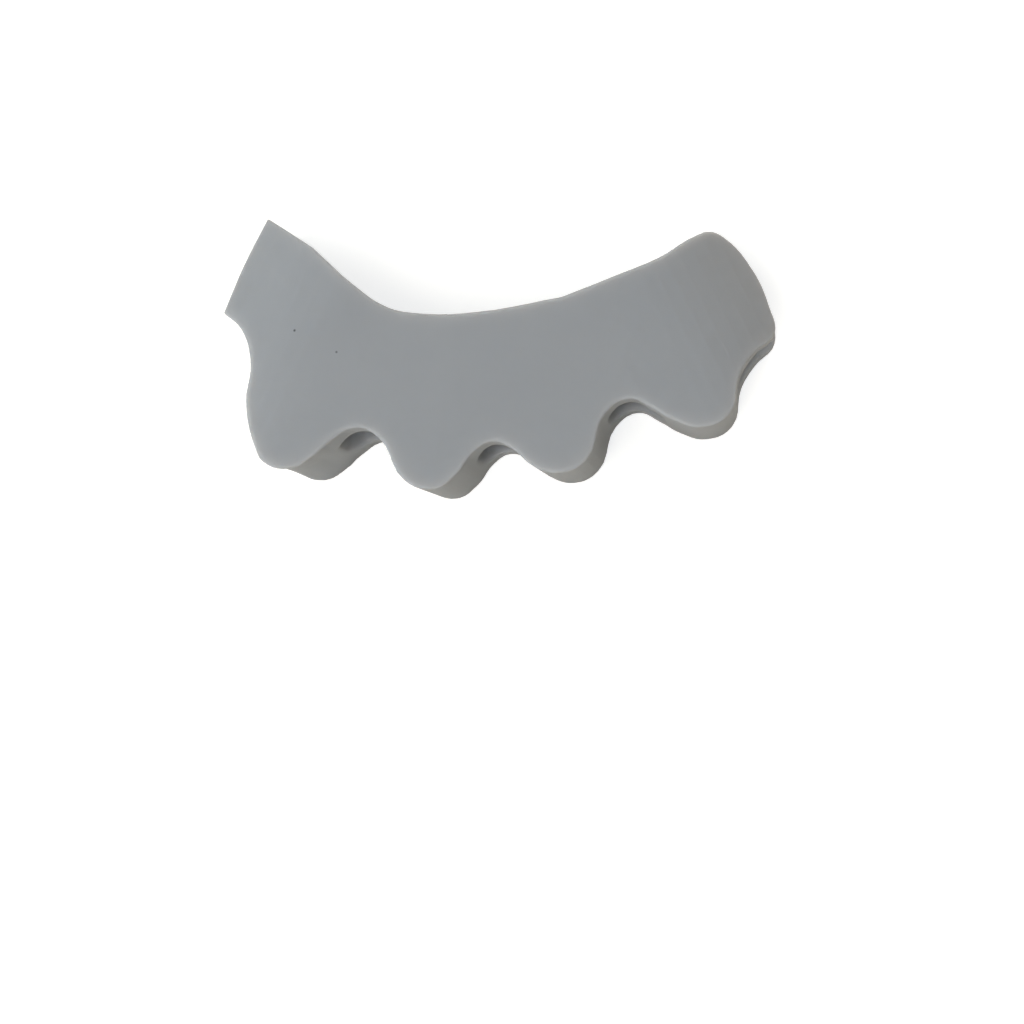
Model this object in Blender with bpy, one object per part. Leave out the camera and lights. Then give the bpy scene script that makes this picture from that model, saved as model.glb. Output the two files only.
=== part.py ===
"""Toe separator: one soft silicone moulding that holds five toes apart.

It lies flat on its underside. +X runs from the big toe to the little toe, the toes point
towards -Y, and +Z is up. The origin is at the middle of the footprint, on the underside.
"""

import math

import bmesh
import bpy
from mathutils import Matrix

MM = 0.001

# Height of the moulding over the first and the last pillar, in millimetres
HEIGHT_BIG_TOE = 21.5
HEIGHT_LITTLE_TOE = 17.5

# Walls above and below the toes
ROOF = 5.0
FLOOR = 4.0

# Radius of the rounded rim round the top and the bottom face
RIM = 0.3

# Pitch of the two pillars beside each middle toe, and depth of the band over the third toe
SECOND_TOE_PITCH = 22.8
THIRD_TOE_PITCH = 20.4
FOURTH_TOE_PITCH = 22.7
BAND_DEPTH = 21.0

# Pillar noses on the front edge: reach, half width on the left and right, depth of the cheeks
FIRST_NOSE = (-7.6, 4.2, 3.9, 1.6)
SECOND_NOSE = (-13.2, 4.4, 3.8, 1.9)
THIRD_NOSE = (-12.7, 4.2, 4.2, 1.6)
FOURTH_NOSE = (-7.8, 4.3, 4.4, 1.6)

# Toe arches: off centre between the pillars, crown, half width on the left and right, drop
SECOND_TOE_ARCH = (-0.2, -2.1, 4.6, 3.6, 1.9)
THIRD_TOE_ARCH = (-0.2, -6.6, 3.1, 3.1, 1.4)
FOURTH_TOE_ARCH = (0.55, -2.1, 4.0, 3.4, 1.9)

# Hollows in the walls, one at mid height and one at the foot: x from the first pillar, y,
# push along x and y, and radius
NOSE_HOLLOW = (1.6, FIRST_NOSE[0], 0.0, 1.5, 7.0)
REAR_HOLLOW = (9.7, 24.7, -0.65, -0.65, 11.0)

# Wing over the big toe, as steps from the first pillar and from the middle of the rear edge:
# the heel, the bulge of the end edge, the sharp tip, and the hollow between wing and pillar
BIG_WING_HEEL = (-2.5, 21.4)
BIG_WING_END = (-7.1, 14.3)
BIG_WING_TIP = (-11.2, 6.2)
BIG_WING_CURL = (-7.2, 2.1)
BIG_WING_HOLLOW = (-5.6, -3.9)
FIRST_PILLAR_SIDE = (-6.6, -10.2)
FIRST_PILLAR_FLANK = (-5.3, -18.2)

# Wing over the little toe, as steps from the fourth pillar and the middle of the rear edge
LITTLE_WING_NECK = (-3.9, 5.5)
LITTLE_WING_SHOULDER = (1.8, 8.8)
LITTLE_WING_HEEL = (4.3, 9.7)
LITTLE_WING_CORNER = (6.3, 8.9)
LITTLE_WING_END = (10.4, 3.4)
LITTLE_WING_EDGE = (12.4, -2.8)
LITTLE_WING_TIP = (12.8, -7.6)
LITTLE_WING_CURL = (9.3, -10.8)
LITTLE_WING_HOLLOW = (6.7, -14.2)

# Rear edge between the wings, as steps from the first, second, third and fourth pillar
REAR_SHOULDER = (6.4, 13.9)
REAR_DIP = (12.6, 7.0)
REAR_BEND = (-4.7, 2.4)
REAR_FOOT = (-0.5, 1.0)
REAR_MIDDLE = (-11.1, 0.0)
REAR_KINK = (3.0, 0.9)
REAR_RISE = (-10.7, 3.4)

# Toe loops: width of the front mouth and of the rear one, and the toe's fan angle in degrees
SECOND_TOE_LOOP = (9.6, 13.0, 12.0)
THIRD_TOE_LOOP = (7.8, 11.0, 0.0)
FOURTH_TOE_LOOP = (9.2, 12.0, -6.0)

# Open cups for the outer toes: inner wall's distance from the pillar, and fan angle
BIG_TOE_CUP = (5.1, 20.0)
LITTLE_TOE_CUP = (4.6, -12.0)
CUP_WIDTH = 20.0

# Share of a loop's half width and half height at which its rounded corner stands
LOOP_CORNER = 0.78

# Bend of each wing: fan angle, start past the pillar, run, and the drop over that run
BIG_WING_BEND = (31.0, -0.4, 20.0, 7.0)
LITTLE_WING_BEND = (-19.7, -0.8, 16.0, 7.0)

# Facets: steps between outline points, steps round the rim, slices through a wing and a hollow
OUTLINE_STEPS = 5
LOOP_STEPS = 4
RIM_STEPS = 2
BEND_SLICES = 7
HOLLOW_SLICES = 6

# Vertices closer than this are one
WELD = 0.01

# Look of the silicone
COLOUR = (0.30, 0.33, 0.35)
ROUGHNESS = 0.55

# The pillars' places, with the middle of their row at x = 0, and the rear edge's middle
FIRST_PILLAR = -(SECOND_TOE_PITCH + THIRD_TOE_PITCH + FOURTH_TOE_PITCH) / 2.0
SECOND_PILLAR = FIRST_PILLAR + SECOND_TOE_PITCH
THIRD_PILLAR = SECOND_PILLAR + THIRD_TOE_PITCH
FOURTH_PILLAR = THIRD_PILLAR + FOURTH_TOE_PITCH
REAR = THIRD_TOE_ARCH[1] + BAND_DEPTH

# The height at which the flat blank is cut, before its top face is sloped
BLANK = (HEIGHT_BIG_TOE + HEIGHT_LITTLE_TOE) / 2.0
LOOP_HEIGHT = BLANK - ROOF - FLOOR


def clear_scene():
    """Remove the objects of the scene."""
    for old in list(bpy.data.objects):
        bpy.data.objects.remove(old, do_unlink=True)


def new_collection(name):
    """A collection linked to the scene."""
    group = bpy.data.collections.new(name)
    bpy.context.scene.collection.children.link(group)
    return group


def from_pillar(pillar, step):
    """An outline point a step away from a pillar and from the middle of the rear edge."""
    return (pillar + step[0], REAR + step[1])


def nose(pillar, shape):
    """Three outline points of a pillar's nose, right to left."""
    reach, left, right, cheek = shape
    return [(pillar + right, reach + cheek), (pillar, reach), (pillar - left, reach + cheek)]


def arch_crown(pillar, pitch, shape):
    """The crown of the toe arch between a pillar and the next one."""
    return (pillar + pitch / 2.0 + shape[0], shape[1])


def arch(pillar, pitch, shape):
    """Three outline points of a toe arch, right to left."""
    x, crown = arch_crown(pillar, pitch, shape)
    left, right, drop = shape[2:]
    return [(x + right, crown - drop), (x, crown), (x - left, crown - drop)]


def outline_points():
    """The plan outline, clockwise from the big wing's heel: x, y and whether it is a corner."""
    rear = [(FIRST_PILLAR, REAR_DIP), (SECOND_PILLAR, REAR_BEND), (SECOND_PILLAR, REAR_FOOT),
            (THIRD_PILLAR, REAR_MIDDLE)]
    rise = [REAR_RISE, LITTLE_WING_NECK, LITTLE_WING_SHOULDER, LITTLE_WING_HEEL,
            LITTLE_WING_CORNER, LITTLE_WING_END, LITTLE_WING_EDGE, LITTLE_WING_TIP,
            LITTLE_WING_CURL, LITTLE_WING_HOLLOW]
    before_kink = [from_pillar(pillar, step) for pillar, step in rear]
    after_kink = [from_pillar(FOURTH_PILLAR, step) for step in rise]
    after_kink += nose(FOURTH_PILLAR, FOURTH_NOSE)
    after_kink += arch(THIRD_PILLAR, FOURTH_TOE_PITCH, FOURTH_TOE_ARCH)
    after_kink += nose(THIRD_PILLAR, THIRD_NOSE)
    after_kink += arch(SECOND_PILLAR, THIRD_TOE_PITCH, THIRD_TOE_ARCH)
    after_kink += nose(SECOND_PILLAR, SECOND_NOSE)
    after_kink += arch(FIRST_PILLAR, SECOND_TOE_PITCH, SECOND_TOE_ARCH)
    after_kink += nose(FIRST_PILLAR, FIRST_NOSE)
    after_kink += [from_pillar(FIRST_PILLAR, step)
                   for step in (FIRST_PILLAR_FLANK, FIRST_PILLAR_SIDE, BIG_WING_HOLLOW,
                                BIG_WING_CURL)]
    points = [(*from_pillar(FIRST_PILLAR, BIG_WING_HEEL), True),
              (*from_pillar(FIRST_PILLAR, REAR_SHOULDER), True)]
    points += [(x, y, False) for x, y in before_kink]
    points += [(*from_pillar(THIRD_PILLAR, REAR_KINK), True)]
    points += [(x, y, False) for x, y in after_kink]
    points += [(*from_pillar(FIRST_PILLAR, BIG_WING_TIP), True),
               (*from_pillar(FIRST_PILLAR, BIG_WING_END), False)]
    return points


def bezier(name, points, steps):
    """A closed flat Bezier curve in millimetres, smooth but for the points marked as corners."""
    curve = bpy.data.curves.new(name, "CURVE")
    curve.dimensions = "2D"
    curve.fill_mode = "BOTH"
    curve.resolution_u = steps
    spline = curve.splines.new("BEZIER")
    spline.bezier_points.add(len(points) - 1)
    spline.use_cyclic_u = True
    for knot, (x, y, corner) in zip(spline.bezier_points, points):
        knot.co = (x * MM, y * MM, 0.0)
        kind = "VECTOR" if corner else "AUTO"
        knot.handle_left_type = kind
        knot.handle_right_type = kind
    return curve


def solid_from_curve(curve, group, place):
    """The curve's solid as a mesh object, welded at its caps and moved to its place."""
    source = bpy.data.objects.new(curve.name, curve)
    group.objects.link(source)
    bpy.context.view_layer.update()
    evaluated = source.evaluated_get(bpy.context.evaluated_depsgraph_get())
    mesh = bpy.data.meshes.new_from_object(evaluated)
    mesh.name = curve.name
    bpy.data.objects.remove(source, do_unlink=True)
    shape = bmesh.new()
    shape.from_mesh(mesh)
    bmesh.ops.remove_doubles(shape, verts=shape.verts, dist=WELD * MM)
    bmesh.ops.recalc_face_normals(shape, faces=shape.faces)
    bmesh.ops.transform(shape, matrix=place, verts=shape.verts)
    shape.to_mesh(mesh)
    shape.free()
    solid = bpy.data.objects.new(curve.name, mesh)
    group.objects.link(solid)
    return solid


def make_blank(group):
    """The flat blank: the plan outline with a rounded rim, standing on z = 0."""
    curve = bezier("toe_separator", outline_points(), OUTLINE_STEPS)
    curve.bevel_depth = RIM * MM
    curve.bevel_resolution = RIM_STEPS
    curve.offset = -RIM * MM
    curve.extrude = (BLANK / 2.0 - RIM) * MM
    return solid_from_curve(curve, group, Matrix.Translation((0.0, 0.0, BLANK / 2.0 * MM)))


def toe_cutter(name, group, place, widths, fan):
    """A cutter of rounded section along a toe, as wide as given at its place and behind the band."""
    half_w = widths[0] / 2.0
    half_h = LOOP_HEIGHT / 2.0
    corner_w = half_w * LOOP_CORNER
    corner_h = half_h * LOOP_CORNER
    points = [(half_w, 0.0), (corner_w, corner_h), (0.0, half_h), (-corner_w, corner_h),
              (-half_w, 0.0), (-corner_w, -corner_h), (0.0, -half_h), (corner_w, -corner_h)]
    curve = bezier(name, [(x, y, False) for x, y in points], LOOP_STEPS)
    rear = BAND_DEPTH + BIG_WING_HEEL[1]
    curve.extrude = (BAND_DEPTH + rear) / 2.0 * MM
    lay_down = Matrix.Rotation(math.radians(90.0), 4, "X")
    move_back = Matrix.Translation((0.0, (rear - BAND_DEPTH) / 2.0 * MM, 0.0))
    cutter = solid_from_curve(curve, group, move_back @ lay_down)
    growth = (widths[1] / widths[0] - 1.0) / (BAND_DEPTH * MM)
    for vert in cutter.data.vertices:
        vert.co.x *= 1.0 + growth * vert.co.y
    turn = Matrix.Rotation(math.radians(-fan), 4, "Z")
    lift = Matrix.Translation((place[0] * MM, place[1] * MM, (FLOOR + half_h) * MM))
    cutter.data.transform(lift @ turn)
    cutter.hide_render = True
    cutter.display_type = "WIRE"
    return cutter


def cup_place(pillar, cup):
    """Where the axis of an outer cup's cutter stands, so that its side lies on the inner wall."""
    distance, angle = cup
    side = -1.0 if angle > 0.0 else 1.0
    turn = math.radians(abs(angle))
    reach = distance + CUP_WIDTH / 2.0
    return (pillar + side * reach * math.cos(turn), reach * math.sin(turn))


def cut(body, cutter):
    """Take the cutter out of the body with an exact Boolean."""
    step = body.modifiers.new(cutter.name, "BOOLEAN")
    step.operation = "DIFFERENCE"
    step.solver = "EXACT"
    step.object = cutter


def cut_toe_spaces(body, group):
    """Cut the three closed loops and the two open cups."""
    loops = (("second_toe", FIRST_PILLAR, SECOND_TOE_PITCH, SECOND_TOE_ARCH, SECOND_TOE_LOOP),
             ("third_toe", SECOND_PILLAR, THIRD_TOE_PITCH, THIRD_TOE_ARCH, THIRD_TOE_LOOP),
             ("fourth_toe", THIRD_PILLAR, FOURTH_TOE_PITCH, FOURTH_TOE_ARCH, FOURTH_TOE_LOOP))
    for name, pillar, pitch, shape, (front, rear, fan) in loops:
        place = arch_crown(pillar, pitch, shape)
        cut(body, toe_cutter(name, group, place, (front, rear), fan))
    cups = (("big_toe", FIRST_PILLAR, BIG_TOE_CUP), ("little_toe", FOURTH_PILLAR, LITTLE_TOE_CUP))
    for name, pillar, cup in cups:
        place = cup_place(pillar, cup)
        cut(body, toe_cutter(name, group, place, (CUP_WIDTH, CUP_WIDTH), cup[1]))


def apply_modifiers(body):
    """Keep the evaluated mesh and drop the modifiers."""
    bpy.context.view_layer.update()
    evaluated = body.evaluated_get(bpy.context.evaluated_depsgraph_get())
    mesh = bpy.data.meshes.new_from_object(evaluated)
    body.modifiers.clear()
    body.data = mesh


def wing_axis(angle):
    """The direction in plan that leads outwards past a wing's pillar."""
    side = -1.0 if angle > 0.0 else 1.0
    turn = math.radians(abs(angle))
    return (side * math.cos(turn), math.sin(turn))


def wing_drop(x, y, pillar, bend):
    """How far the top face has bent down at this place on a wing."""
    angle, start, run, drop = bend
    across, along = wing_axis(angle)
    past = (x - pillar) * across + y * along - start
    return drop * (max(past, 0.0) / run) ** 2


def top_height(x, y):
    """Height of the top face: a slope from big toe to little toe, less the drooping wings."""
    share = (x - FIRST_PILLAR) / (FOURTH_PILLAR - FIRST_PILLAR)
    slope = HEIGHT_BIG_TOE + (HEIGHT_LITTLE_TOE - HEIGHT_BIG_TOE) * share
    big_drop = wing_drop(x, y, FIRST_PILLAR, BIG_WING_BEND)
    return slope - big_drop - wing_drop(x, y, FOURTH_PILLAR, LITTLE_WING_BEND)


def slice_wing(shape, pillar, bend):
    """Cut edge lines across a wing, so that it can bend smoothly."""
    angle, start, run, _ = bend
    across, along = wing_axis(angle)
    for step in range(BEND_SLICES):
        distance = start + run * step / BEND_SLICES
        place = ((pillar + distance * across) * MM, distance * along * MM, 0.0)
        everything = shape.verts[:] + shape.edges[:] + shape.faces[:]
        bmesh.ops.bisect_plane(shape, geom=everything, dist=WELD * MM,
                               plane_co=place, plane_no=(across, along, 0.0))


def hollow_share(hollow, x, y):
    """How much of a hollow is felt at this place in plan, from 0 to 1."""
    step, along, _, _, radius = hollow
    away = math.hypot(x - FIRST_PILLAR - step, y - along) / radius
    return max(1.0 - away ** 2, 0.0) ** 2


def slice_nose(shape):
    """Cut level edge lines across the first nose, so that its wall can be hollowed smoothly."""
    for step in range(1, HOLLOW_SLICES):
        near = [face for face in shape.faces
                if max(hollow_share(NOSE_HOLLOW, v.co.x / MM, v.co.y / MM)
                       for v in face.verts) > 0.0]
        edges = {edge for face in near for edge in face.edges}
        verts = {vert for face in near for vert in face.verts}
        bmesh.ops.bisect_plane(shape, geom=[*verts, *edges, *near], dist=WELD * MM,
                               plane_co=(0.0, 0.0, BLANK * step / HOLLOW_SLICES * MM),
                               plane_no=(0.0, 0.0, 1.0))


def hollow_walls(shape):
    """Hollow the first nose's wall at mid height, and draw in the foot behind the big wing."""
    for vert in shape.verts:
        height = vert.co.z / (BLANK * MM)
        depths = ((NOSE_HOLLOW, math.sin(math.pi * min(max(height, 0.0), 1.0))),
                  (REAR_HOLLOW, 1.0 - height))
        pushes = [(hollow, depth * hollow_share(hollow, vert.co.x / MM, vert.co.y / MM) * MM)
                  for hollow, depth in depths]
        vert.co.x += sum(hollow[2] * push for hollow, push in pushes)
        vert.co.y += sum(hollow[3] * push for hollow, push in pushes)


def bend_blank(body):
    """Slope the blank's top face and bend its wings down, keeping the underside flat."""
    shape = bmesh.new()
    shape.from_mesh(body.data)
    slice_nose(shape)
    slice_wing(shape, FIRST_PILLAR, BIG_WING_BEND)
    slice_wing(shape, FOURTH_PILLAR, LITTLE_WING_BEND)
    bmesh.ops.triangulate(shape, faces=shape.faces)
    hollow_walls(shape)
    for vert in shape.verts:
        vert.co.z *= top_height(vert.co.x / MM, vert.co.y / MM) / BLANK
    shape.to_mesh(body.data)
    shape.free()


def centre_on_footprint(body):
    """Move the mesh so that the origin is at the middle of its box, on the underside."""
    low = [min(v.co[axis] for v in body.data.vertices) for axis in range(3)]
    high = [max(v.co[axis] for v in body.data.vertices) for axis in range(3)]
    middle = [(a + b) / 2.0 for a, b in zip(low, high)]
    body.data.transform(Matrix.Translation((-middle[0], -middle[1], -low[2])))


def silicone():
    """Smooth, cool grey silicone."""
    material = bpy.data.materials.new("grey_silicone")
    material.use_nodes = True
    shader = material.node_tree.nodes["Principled BSDF"]
    shader.inputs["Base Color"].default_value = (*COLOUR, 1.0)
    shader.inputs["Roughness"].default_value = ROUGHNESS
    shader.inputs["Metallic"].default_value = 0.0
    return material


def main():
    """Build the toe separator."""
    clear_scene()
    parts = new_collection("toe_separator_parts")
    cutters = new_collection("cutters")
    body = make_blank(parts)
    cut_toe_spaces(body, cutters)
    apply_modifiers(body)
    bend_blank(body)
    centre_on_footprint(body)
    body.data.materials.clear()
    body.data.materials.append(silicone())
    body.data.shade_smooth()
    body.data.set_sharp_from_angle(angle=math.radians(35.0))


main()
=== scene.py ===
# %% [markdown]
# # A silicone toe separator
# This lesson dresses one soft moulding: a toe separator, which stands four pillars between
# five toes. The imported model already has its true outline, its three toe loops and its open
# cups, so the work here is on the surface. A moulding of soft silicone has no knife edges:
# every rim is a little round, its skin is matte, and light sinks a short way into it.

# %% Load the fixed frame and keep its box
import math

import bmesh
import bpy
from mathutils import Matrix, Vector
from mathutils.kdtree import KDTree


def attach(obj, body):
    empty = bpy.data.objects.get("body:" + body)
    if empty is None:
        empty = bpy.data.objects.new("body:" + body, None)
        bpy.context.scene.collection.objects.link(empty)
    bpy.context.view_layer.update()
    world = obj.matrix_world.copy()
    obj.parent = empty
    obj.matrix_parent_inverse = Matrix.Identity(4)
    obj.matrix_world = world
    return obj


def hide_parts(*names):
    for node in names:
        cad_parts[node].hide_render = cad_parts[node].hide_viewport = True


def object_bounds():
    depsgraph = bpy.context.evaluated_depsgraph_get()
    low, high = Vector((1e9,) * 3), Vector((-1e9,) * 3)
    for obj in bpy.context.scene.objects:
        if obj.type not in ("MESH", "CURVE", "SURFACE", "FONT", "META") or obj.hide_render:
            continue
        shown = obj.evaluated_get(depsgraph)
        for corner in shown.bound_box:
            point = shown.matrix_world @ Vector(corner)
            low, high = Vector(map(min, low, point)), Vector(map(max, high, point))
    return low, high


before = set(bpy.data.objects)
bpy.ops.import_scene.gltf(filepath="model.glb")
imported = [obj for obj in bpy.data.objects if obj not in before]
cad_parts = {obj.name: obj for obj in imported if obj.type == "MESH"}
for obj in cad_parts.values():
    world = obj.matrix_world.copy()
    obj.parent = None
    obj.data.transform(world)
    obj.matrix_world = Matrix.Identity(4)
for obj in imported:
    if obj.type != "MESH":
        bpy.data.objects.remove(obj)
cad_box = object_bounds()
low, high = (Vector(corner) for corner in cad_box)
centre = (low + high) / 2
span = high - low
MM = 0.001
print("size in mm:", [round(side / MM, 1) for side in span])

# %% [markdown]
# ## The camera
# The photo was taken from almost straight above, at about a hand's length and a half. The
# camera stands beyond the front edge at the little-toe end, so it sees the walls that face
# that way: a strip under each arch, and the flank of each pillar. A shifted lens could give
# such a view too, but a plain tilted camera needs only an aim point and a small roll.

# %% Stand the camera and aim it
CAMERA_PLACE = Vector((0.0401, -0.0500, 0.262))
CAMERA_AIM = Vector((0.00124, -0.02940, 0.0195))
CAMERA_UP = Vector((0.10367, 0.99232, 0.06750))
LENS_MM = 55.03
SENSOR_MM = 36.0
CLIP_NEAR = 0.01
CLIP_FAR = 10.0


def make_camera(place, aim, up):
    """Stand the scene's camera at its place, looking at its aim, with the picture's top
    along up."""
    data = bpy.data.cameras.new("camera")
    data.lens = LENS_MM
    data.sensor_width = SENSOR_MM
    data.clip_start = CLIP_NEAR
    data.clip_end = CLIP_FAR
    camera = bpy.data.objects.new("camera", data)
    bpy.context.scene.collection.objects.link(camera)
    back = (place - aim).normalized()
    right = up.cross(back).normalized()
    true_up = back.cross(right)
    turn = camera.matrix_world.copy()
    for row in range(3):
        turn[row][0] = right[row]
        turn[row][1] = true_up[row]
        turn[row][2] = back[row]
        turn[row][3] = place[row]
    camera.matrix_world = turn
    bpy.context.scene.camera = camera
    print("camera looks down at", round(math.degrees(math.asin(back.z)), 1), "degrees")


make_camera(CAMERA_PLACE, CAMERA_AIM, CAMERA_UP)

# %% [markdown]
# ## The moulding's skin
# The CAD solid is made of flat facets, with knife edges where a loop breaks through a wall. A
# real moulding has those mouths eased, because they lie against skin. A voxel remesh turns a
# welded copy of the solid into an even skin of small squares, and a shrinkwrap lays that skin
# back on the CAD faces, so the outline stays true. Only the skin near the mouths, and near
# the lips of the cups, is then smoothed. That is simpler than a bevel, which would have to
# follow the curved edges.

# %% Copy the solid and weld its loose triangles
WELD = 0.005 * MM


def welded_copy(node, name):
    """A new object with a node's mesh, its loose triangles merged."""
    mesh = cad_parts[node].data.copy()
    mesh.name = name
    mesh.materials.clear()
    shape = bmesh.new()
    shape.from_mesh(mesh)
    bmesh.ops.remove_doubles(shape, verts=shape.verts, dist=WELD)
    bmesh.ops.recalc_face_normals(shape, faces=shape.faces)
    shape.to_mesh(mesh)
    print(name, "has", len(shape.verts), "vertices after welding")
    shape.free()
    piece = bpy.data.objects.new(name, mesh)
    bpy.context.scene.collection.objects.link(piece)
    return piece


moulding = welded_copy("toe_separator", "silicone_moulding")

# %% [markdown]
# The mouths are found on the welded copy, before the remesh hides them. They are its only
# sharp edges between the two wings, since the rim round the top and the bottom face is
# already round. On the wings the lips of the open cups are sharp too, and so are the upright
# corners of the big wing, which stay as they are. A vertex group could mark them, but the
# remesh would drop it, so a KD tree of points along the edges tells how far any place is
# from them.

# %% Find the mouths of the loops and the lips of the cups
SHARP = math.radians(50.0)
LOOPS_REACH = 31.0 * MM
UPRIGHT = 0.7
SPACING = 0.3 * MM


def is_mouth(start, end):
    """Whether an edge is between the wings."""
    return max(abs(start.x), abs(end.x)) <= LOOPS_REACH


def is_lip(start, end):
    """Whether an edge is on a wing and isn't upright."""
    return not is_mouth(start, end) and abs((end - start).normalized().z) < UPRIGHT


def edge_tree(mesh, wanted):
    """A KD tree of points along those sharp edges of a mesh that are wanted."""
    shape = bmesh.new()
    shape.from_mesh(mesh)
    points = []
    for edge in shape.edges:
        start, end = (vert.co.copy() for vert in edge.verts)
        if edge.calc_face_angle(0.0) < SHARP or not wanted(start, end):
            continue
        steps = max(1, math.ceil((end - start).length / SPACING))
        points += [start.lerp(end, step / steps) for step in range(steps + 1)]
    shape.free()
    tree = KDTree(len(points))
    for index, point in enumerate(points):
        tree.insert(point, index)
    tree.balance()
    print(len(points), "points along sharp edges")
    return tree


mouths = edge_tree(moulding.data, is_mouth)
lips = edge_tree(moulding.data, is_lip)

# %% Remesh the copy and lay its skin on the CAD faces
VOXEL = 0.33 * MM
ADAPT = 0.06 * MM


def even_skin(piece, node, voxel, adapt):
    """Give a piece an even skin of small squares that lies on a node's faces."""
    skin = piece.modifiers.new("even_skin", "REMESH")
    skin.mode = "VOXEL"
    skin.voxel_size = voxel
    skin.adaptivity = adapt
    fit = piece.modifiers.new("lie_on_faces", "SHRINKWRAP")
    fit.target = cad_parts[node]
    fit.wrap_method = "NEAREST_SURFACEPOINT"
    bpy.context.view_layer.update()
    graph = bpy.context.evaluated_depsgraph_get()
    mesh = bpy.data.meshes.new_from_object(piece.evaluated_get(graph))
    piece.modifiers.clear()
    piece.data = mesh
    mesh.calc_loop_triangles()
    print(piece.name, "has", len(mesh.loop_triangles), "triangles")


even_skin(moulding, "toe_separator", VOXEL, ADAPT)

# %% Ease the mouths and the lips
MOUTH_BAND = 1.8 * MM
MOUTH_ROUNDS = 10
LIP_BAND = 0.9 * MM
LIP_ROUNDS = 4
HALFWAY = 0.5


def smooth(shape, verts):
    """Move points halfway to the middle of their neighbours."""
    bmesh.ops.smooth_vert(shape, verts=verts, factor=HALFWAY,
                          use_axis_x=True, use_axis_y=True, use_axis_z=True)


def ease(piece, tree, band, rounds):
    """Smooth a piece near the tree's edges, in a band that narrows with each round."""
    shape = bmesh.new()
    shape.from_mesh(piece.data)
    away = {vert: tree.find(vert.co)[2] for vert in shape.verts}
    for step in range(rounds):
        reach = band * (1.0 - step / rounds)
        smooth(shape, [vert for vert, gap in away.items() if gap < reach])
    shape.to_mesh(piece.data)
    shape.free()
    print("eased", sum(gap < band for gap in away.values()), "points")


ease(moulding, mouths, MOUTH_BAND, MOUTH_ROUNDS)
ease(moulding, lips, LIP_BAND, LIP_ROUNDS)

# %% Put the finished skin in the solid's place
moulding.data.shade_smooth()
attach(moulding, "root")
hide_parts("toe_separator")
print(moulding.name, "stands for the CAD solid")

# %% [markdown]
# ## The silicone
# Soft silicone comes out of a blasted mould with a fine, even grain, so it is matte with a
# faint satin gloss. Its grey isn't quite even: pigment drifts as it cures, which leaves
# broad, weak clouds, and a few dark specks are set in the skin near the big toe. A painted
# picture could show all that, but patterns on Object coordinates need none and have no
# seams. Each effect is a node group that gives out only a mask or a height, so that another
# material could use it with its own values.

# %% Helpers for node groups


def new_group(name, inputs, outputs):
    """A shader node group with named inputs and outputs, and its two end nodes."""
    group = bpy.data.node_groups.new(name, "ShaderNodeTree")
    for label, kind, value in inputs:
        socket = group.interface.new_socket(label, in_out="INPUT", socket_type=kind)
        if value is not None:
            socket.default_value = value
    for label, kind in outputs:
        group.interface.new_socket(label, in_out="OUTPUT", socket_type=kind)
    print("node group:", name)
    return group, group.nodes.new("NodeGroupInput"), group.nodes.new("NodeGroupOutput")


def add_maths(tree, operation, first, second, clamp=False):
    """A Math node on two sockets or numbers."""
    node = tree.nodes.new("ShaderNodeMath")
    node.operation = operation
    node.use_clamp = clamp
    for socket, value in zip(node.inputs, (first, second)):
        if isinstance(value, (int, float)):
            socket.default_value = value
        else:
            tree.links.new(value, socket)
    return node.outputs["Value"]


# %% Broad clouds of pigment
CLOUD_SCALE = 45.0
CLOUD_DETAIL = 3.0
CLOUD_BREAKUP = 0.5


def cloud_group():
    """Weak, broad clouds, from 0 to 1."""
    group, start, end = new_group(
        "pigment_clouds",
        [("Vector", "NodeSocketVector", None), ("Scale", "NodeSocketFloat", CLOUD_SCALE)],
        [("Mask", "NodeSocketFloat")],
    )
    noise = group.nodes.new("ShaderNodeTexNoise")
    noise.inputs["Detail"].default_value = CLOUD_DETAIL
    noise.inputs["Roughness"].default_value = CLOUD_BREAKUP
    group.links.new(start.outputs["Vector"], noise.inputs["Vector"])
    group.links.new(start.outputs["Scale"], noise.inputs["Scale"])
    group.links.new(noise.outputs["Fac"], end.inputs["Mask"])
    return group


clouds_effect = cloud_group()

# %% Fine grain of the blasted mould
GRAIN_SCALE = 3200.0
COARSE_SHARE = 0.2
FINE_DETAIL = 2.0
COARSE_DETAIL = 1.0


def grain_group():
    """Two sizes of fine grain as one height."""
    group, start, end = new_group(
        "mould_grain",
        [("Vector", "NodeSocketVector", None), ("Scale", "NodeSocketFloat", GRAIN_SCALE)],
        [("Height", "NodeSocketFloat")],
    )
    fine = group.nodes.new("ShaderNodeTexNoise")
    fine.inputs["Detail"].default_value = FINE_DETAIL
    group.links.new(start.outputs["Vector"], fine.inputs["Vector"])
    group.links.new(start.outputs["Scale"], fine.inputs["Scale"])
    coarse = group.nodes.new("ShaderNodeTexNoise")
    coarse.inputs["Detail"].default_value = COARSE_DETAIL
    group.links.new(start.outputs["Vector"], coarse.inputs["Vector"])
    group.links.new(add_maths(group, "MULTIPLY", start.outputs["Scale"], COARSE_SHARE),
                    coarse.inputs["Scale"])
    both = add_maths(group, "ADD", fine.outputs["Fac"], coarse.outputs["Fac"])
    group.links.new(both, end.inputs["Height"])
    return group


grain_effect = grain_group()

# %% A dark speck set in the skin
SPECKS = (
    ((-0.0313, 0.0035, 0.0207), 0.00018),
    ((-0.0246, -0.0009, 0.0208), 0.00018),
    ((-0.0273, -0.0080, 0.0210), 0.00006),
)
SPECK_FADE = 1.6


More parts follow.
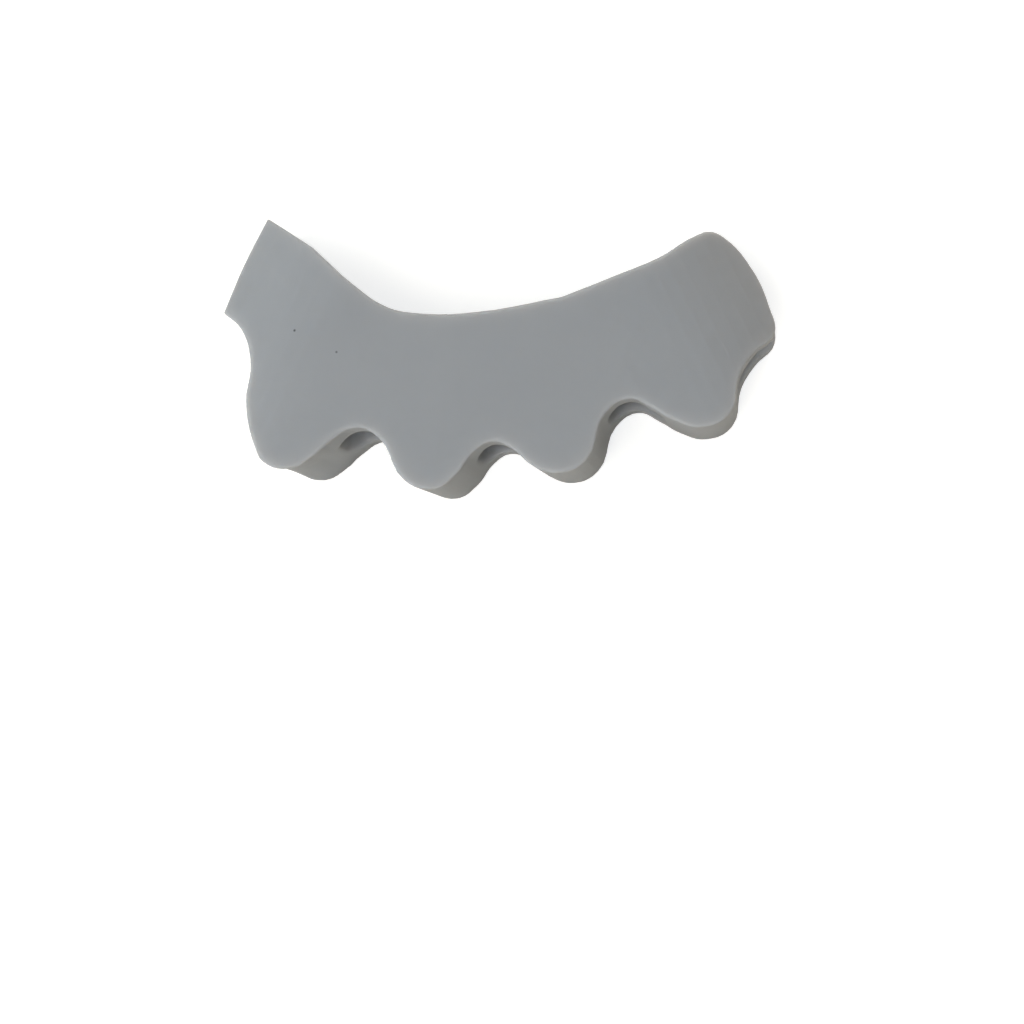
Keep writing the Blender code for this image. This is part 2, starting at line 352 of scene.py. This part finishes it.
def speck_group():
    """A mask that is 1 near a place and fades to 0 by SPECK_FADE times the radius."""
    group, start, end = new_group(
        "dark_speck",
        [("Vector", "NodeSocketVector", None), ("Place", "NodeSocketVector", None),
         ("Radius", "NodeSocketFloat", SPECKS[0][1])],
        [("Mask", "NodeSocketFloat")],
    )
    gap = group.nodes.new("ShaderNodeVectorMath")
    gap.operation = "DISTANCE"
    group.links.new(start.outputs["Vector"], gap.inputs[0])
    group.links.new(start.outputs["Place"], gap.inputs[1])
    share = add_maths(group, "DIVIDE", gap.outputs["Value"], start.outputs["Radius"])
    mask = add_maths(group, "SUBTRACT", SPECK_FADE, share, clamp=True)
    group.links.new(mask, end.inputs["Mask"])
    return group


speck_effect = speck_group()

# %% Helpers that place effects in a material


def place_group(tree, group, **values):
    """A group node in a tree, with its inputs linked or set."""
    node = tree.nodes.new("ShaderNodeGroup")
    node.node_tree = group
    for label, value in values.items():
        if isinstance(value, bpy.types.NodeSocket):
            tree.links.new(value, node.inputs[label])
        else:
            node.inputs[label].default_value = value
    return node


def mix_colours(tree, mask, first, second):
    """A colour that goes from the first to the second as the mask goes from 0 to 1."""
    node = tree.nodes.new("ShaderNodeMix")
    node.data_type = "RGBA"
    tree.links.new(mask, node.inputs["Factor"])
    for socket, value in ((node.inputs["A"], first), (node.inputs["B"], second)):
        if isinstance(value, tuple):
            socket.default_value = value
        else:
            tree.links.new(value, socket)
    return node.outputs["Result"]


# %% [markdown]
# The shader's own sockets hold what is the same all over: light enters the silicone and
# comes out a few millimetres away, which keeps the walls from going dark, and its low gloss
# keeps the light line on the rims faint. The effects then vary the colour, the roughness
# and the fine relief.

# %% The silicone material
SILICONE_GREY = (0.300, 0.312, 0.330, 1.0)
SILICONE_PALE = (0.330, 0.339, 0.354, 1.0)
SPECK_GREY = (0.06, 0.06, 0.065, 1.0)
SHADER_VALUES = {
    "IOR": 1.41,
    "Metallic": 0.0,
    "Specular IOR Level": 0.35,
    "Subsurface Weight": 1.0,
    "Subsurface Radius": (1.0, 0.9, 0.8),
    "Subsurface Scale": 0.0060,
}
ROUGH_LOW = 0.50
ROUGH_RANGE = 0.10
GRAIN_STRENGTH = 0.12
GRAIN_DEPTH = 0.00004


def set_values(shader, values):
    """Set sockets of a shader by their names."""
    for label, value in values.items():
        shader.inputs[label].default_value = value


def silicone_material():
    """Matte grey silicone with clouds, grain and specks."""
    material = bpy.data.materials.new("matte_silicone")
    material.use_nodes = True
    tree = material.node_tree
    shader = tree.nodes["Principled BSDF"]
    set_values(shader, SHADER_VALUES)
    place = tree.nodes.new("ShaderNodeTexCoord").outputs["Object"]
    clouds = place_group(tree, clouds_effect, Vector=place, Scale=CLOUD_SCALE)
    colour = mix_colours(tree, clouds.outputs["Mask"], SILICONE_GREY, SILICONE_PALE)
    for where, radius in SPECKS:
        speck = place_group(tree, speck_effect, Vector=place, Place=where, Radius=radius)
        colour = mix_colours(tree, speck.outputs["Mask"], colour, SPECK_GREY)
    tree.links.new(colour, shader.inputs["Base Color"])
    rough = add_maths(tree, "MULTIPLY", clouds.outputs["Mask"], ROUGH_RANGE)
    tree.links.new(add_maths(tree, "ADD", rough, ROUGH_LOW), shader.inputs["Roughness"])
    grain = place_group(tree, grain_effect, Vector=place, Scale=GRAIN_SCALE)
    bump = tree.nodes.new("ShaderNodeBump")
    set_values(bump, {"Strength": GRAIN_STRENGTH, "Distance": GRAIN_DEPTH})
    tree.links.new(grain.outputs["Height"], bump.inputs["Height"])
    tree.links.new(bump.outputs["Normal"], shader.inputs["Normal"])
    return material


moulding.data.materials.clear()
moulding.data.materials.append(silicone_material())
print("material:", moulding.data.materials[0].name)

# %% [markdown]
# ## The floor
# The photo's ground is plain white. More light would whiten a floor, but it would bleach the
# grey as well. A pale floor that gives the camera alone some light of its own stays white,
# and still takes the soft shadow that shows where the moulding touches it.

# %% Make the floor
FLOOR_SIDE = 6.0
FLOOR_VALUES = {
    "Base Color": (0.70, 0.65, 0.57, 1.0),
    "Roughness": 0.9,
    "Specular IOR Level": 0.0,
    "Emission Color": (0.90, 0.94, 1.0, 1.0),
}
FLOOR_GLOW = 0.66


def make_floor():
    """A large pale floor that looks white to the camera."""
    mesh = bpy.data.meshes.new("floor")
    shape = bmesh.new()
    bmesh.ops.create_grid(shape, x_segments=1, y_segments=1, size=FLOOR_SIDE / 2)
    shape.to_mesh(mesh)
    shape.free()
    floor = bpy.data.objects.new("floor", mesh)
    floor.location.z = low.z
    bpy.context.scene.collection.objects.link(floor)
    material = bpy.data.materials.new("white_floor")
    material.use_nodes = True
    tree = material.node_tree
    shader = tree.nodes["Principled BSDF"]
    set_values(shader, FLOOR_VALUES)
    rays = tree.nodes.new("ShaderNodeLightPath")
    glow = add_maths(tree, "MULTIPLY", rays.outputs["Is Camera Ray"], FLOOR_GLOW)
    tree.links.new(glow, shader.inputs["Emission Strength"])
    mesh.materials.append(material)
    print("floor", FLOOR_SIDE, "m wide")


make_floor()

# %% [markdown]
# ## The light
# A lamp high in front is the main light, and it reaches the walls under the arches. A cool
# lamp at the left, as a window would be, makes the face lightest at the big toe, and a warm
# lamp behind on the right keeps the little-toe end from going dark. One lamp overhead would
# be simpler, but it would leave the walls dark.

# %% Light the moulding
LAMPS = (
    # name, place, side in m, watts, colour
    ("window_lamp", (-0.35, 0.10, 0.25), 0.35, 0.82, (0.90, 0.97, 1.0)),
    ("rear_lamp", (0.25, 0.30, 0.25), 0.30, 0.70, (1.0, 0.95, 0.88)),
    ("front_lamp", (-0.08, -0.20, 0.40), 0.30, 1.20, (0.99, 0.99, 0.97)),
)


def make_lamp(name, place, side, watts, colour):
    """A square area lamp that faces the middle of the moulding."""
    data = bpy.data.lights.new(name, "AREA")
    data.shape = "SQUARE"
    data.size = side
    data.energy = watts
    data.color = colour
    lamp = bpy.data.objects.new(name, data)
    lamp.location = place
    lamp.rotation_euler = (Vector(place) - centre).to_track_quat("Z", "Y").to_euler()
    bpy.context.scene.collection.objects.link(lamp)
    print(name, watts, "W")


for lamp_values in LAMPS:
    make_lamp(*lamp_values)

# %% Light the room
ZENITH = (0.90, 0.97, 1.0, 1.0)
HORIZON = (1.0, 0.93, 0.84, 1.0)
ROOM_LIGHT = 0.26
SKY_RISE = 1.3


def make_room():
    """A world that is cool overhead and warm near the horizon."""
    world = bpy.data.worlds.new("studio")
    bpy.context.scene.world = world
    world.use_nodes = True
    tree = world.node_tree
    sky = tree.nodes["Background"]
    sky.inputs["Strength"].default_value = ROOM_LIGHT
    place = tree.nodes.new("ShaderNodeTexCoord")
    split = tree.nodes.new("ShaderNodeSeparateXYZ")
    tree.links.new(place.outputs["Generated"], split.inputs["Vector"])
    height = add_maths(tree, "MULTIPLY", split.outputs["Z"], SKY_RISE, clamp=True)
    tree.links.new(mix_colours(tree, height, HORIZON, ZENITH), sky.inputs["Color"])
    print("room light", ROOM_LIGHT)


make_room()
bpy.context.scene.view_settings.view_transform = "Standard"
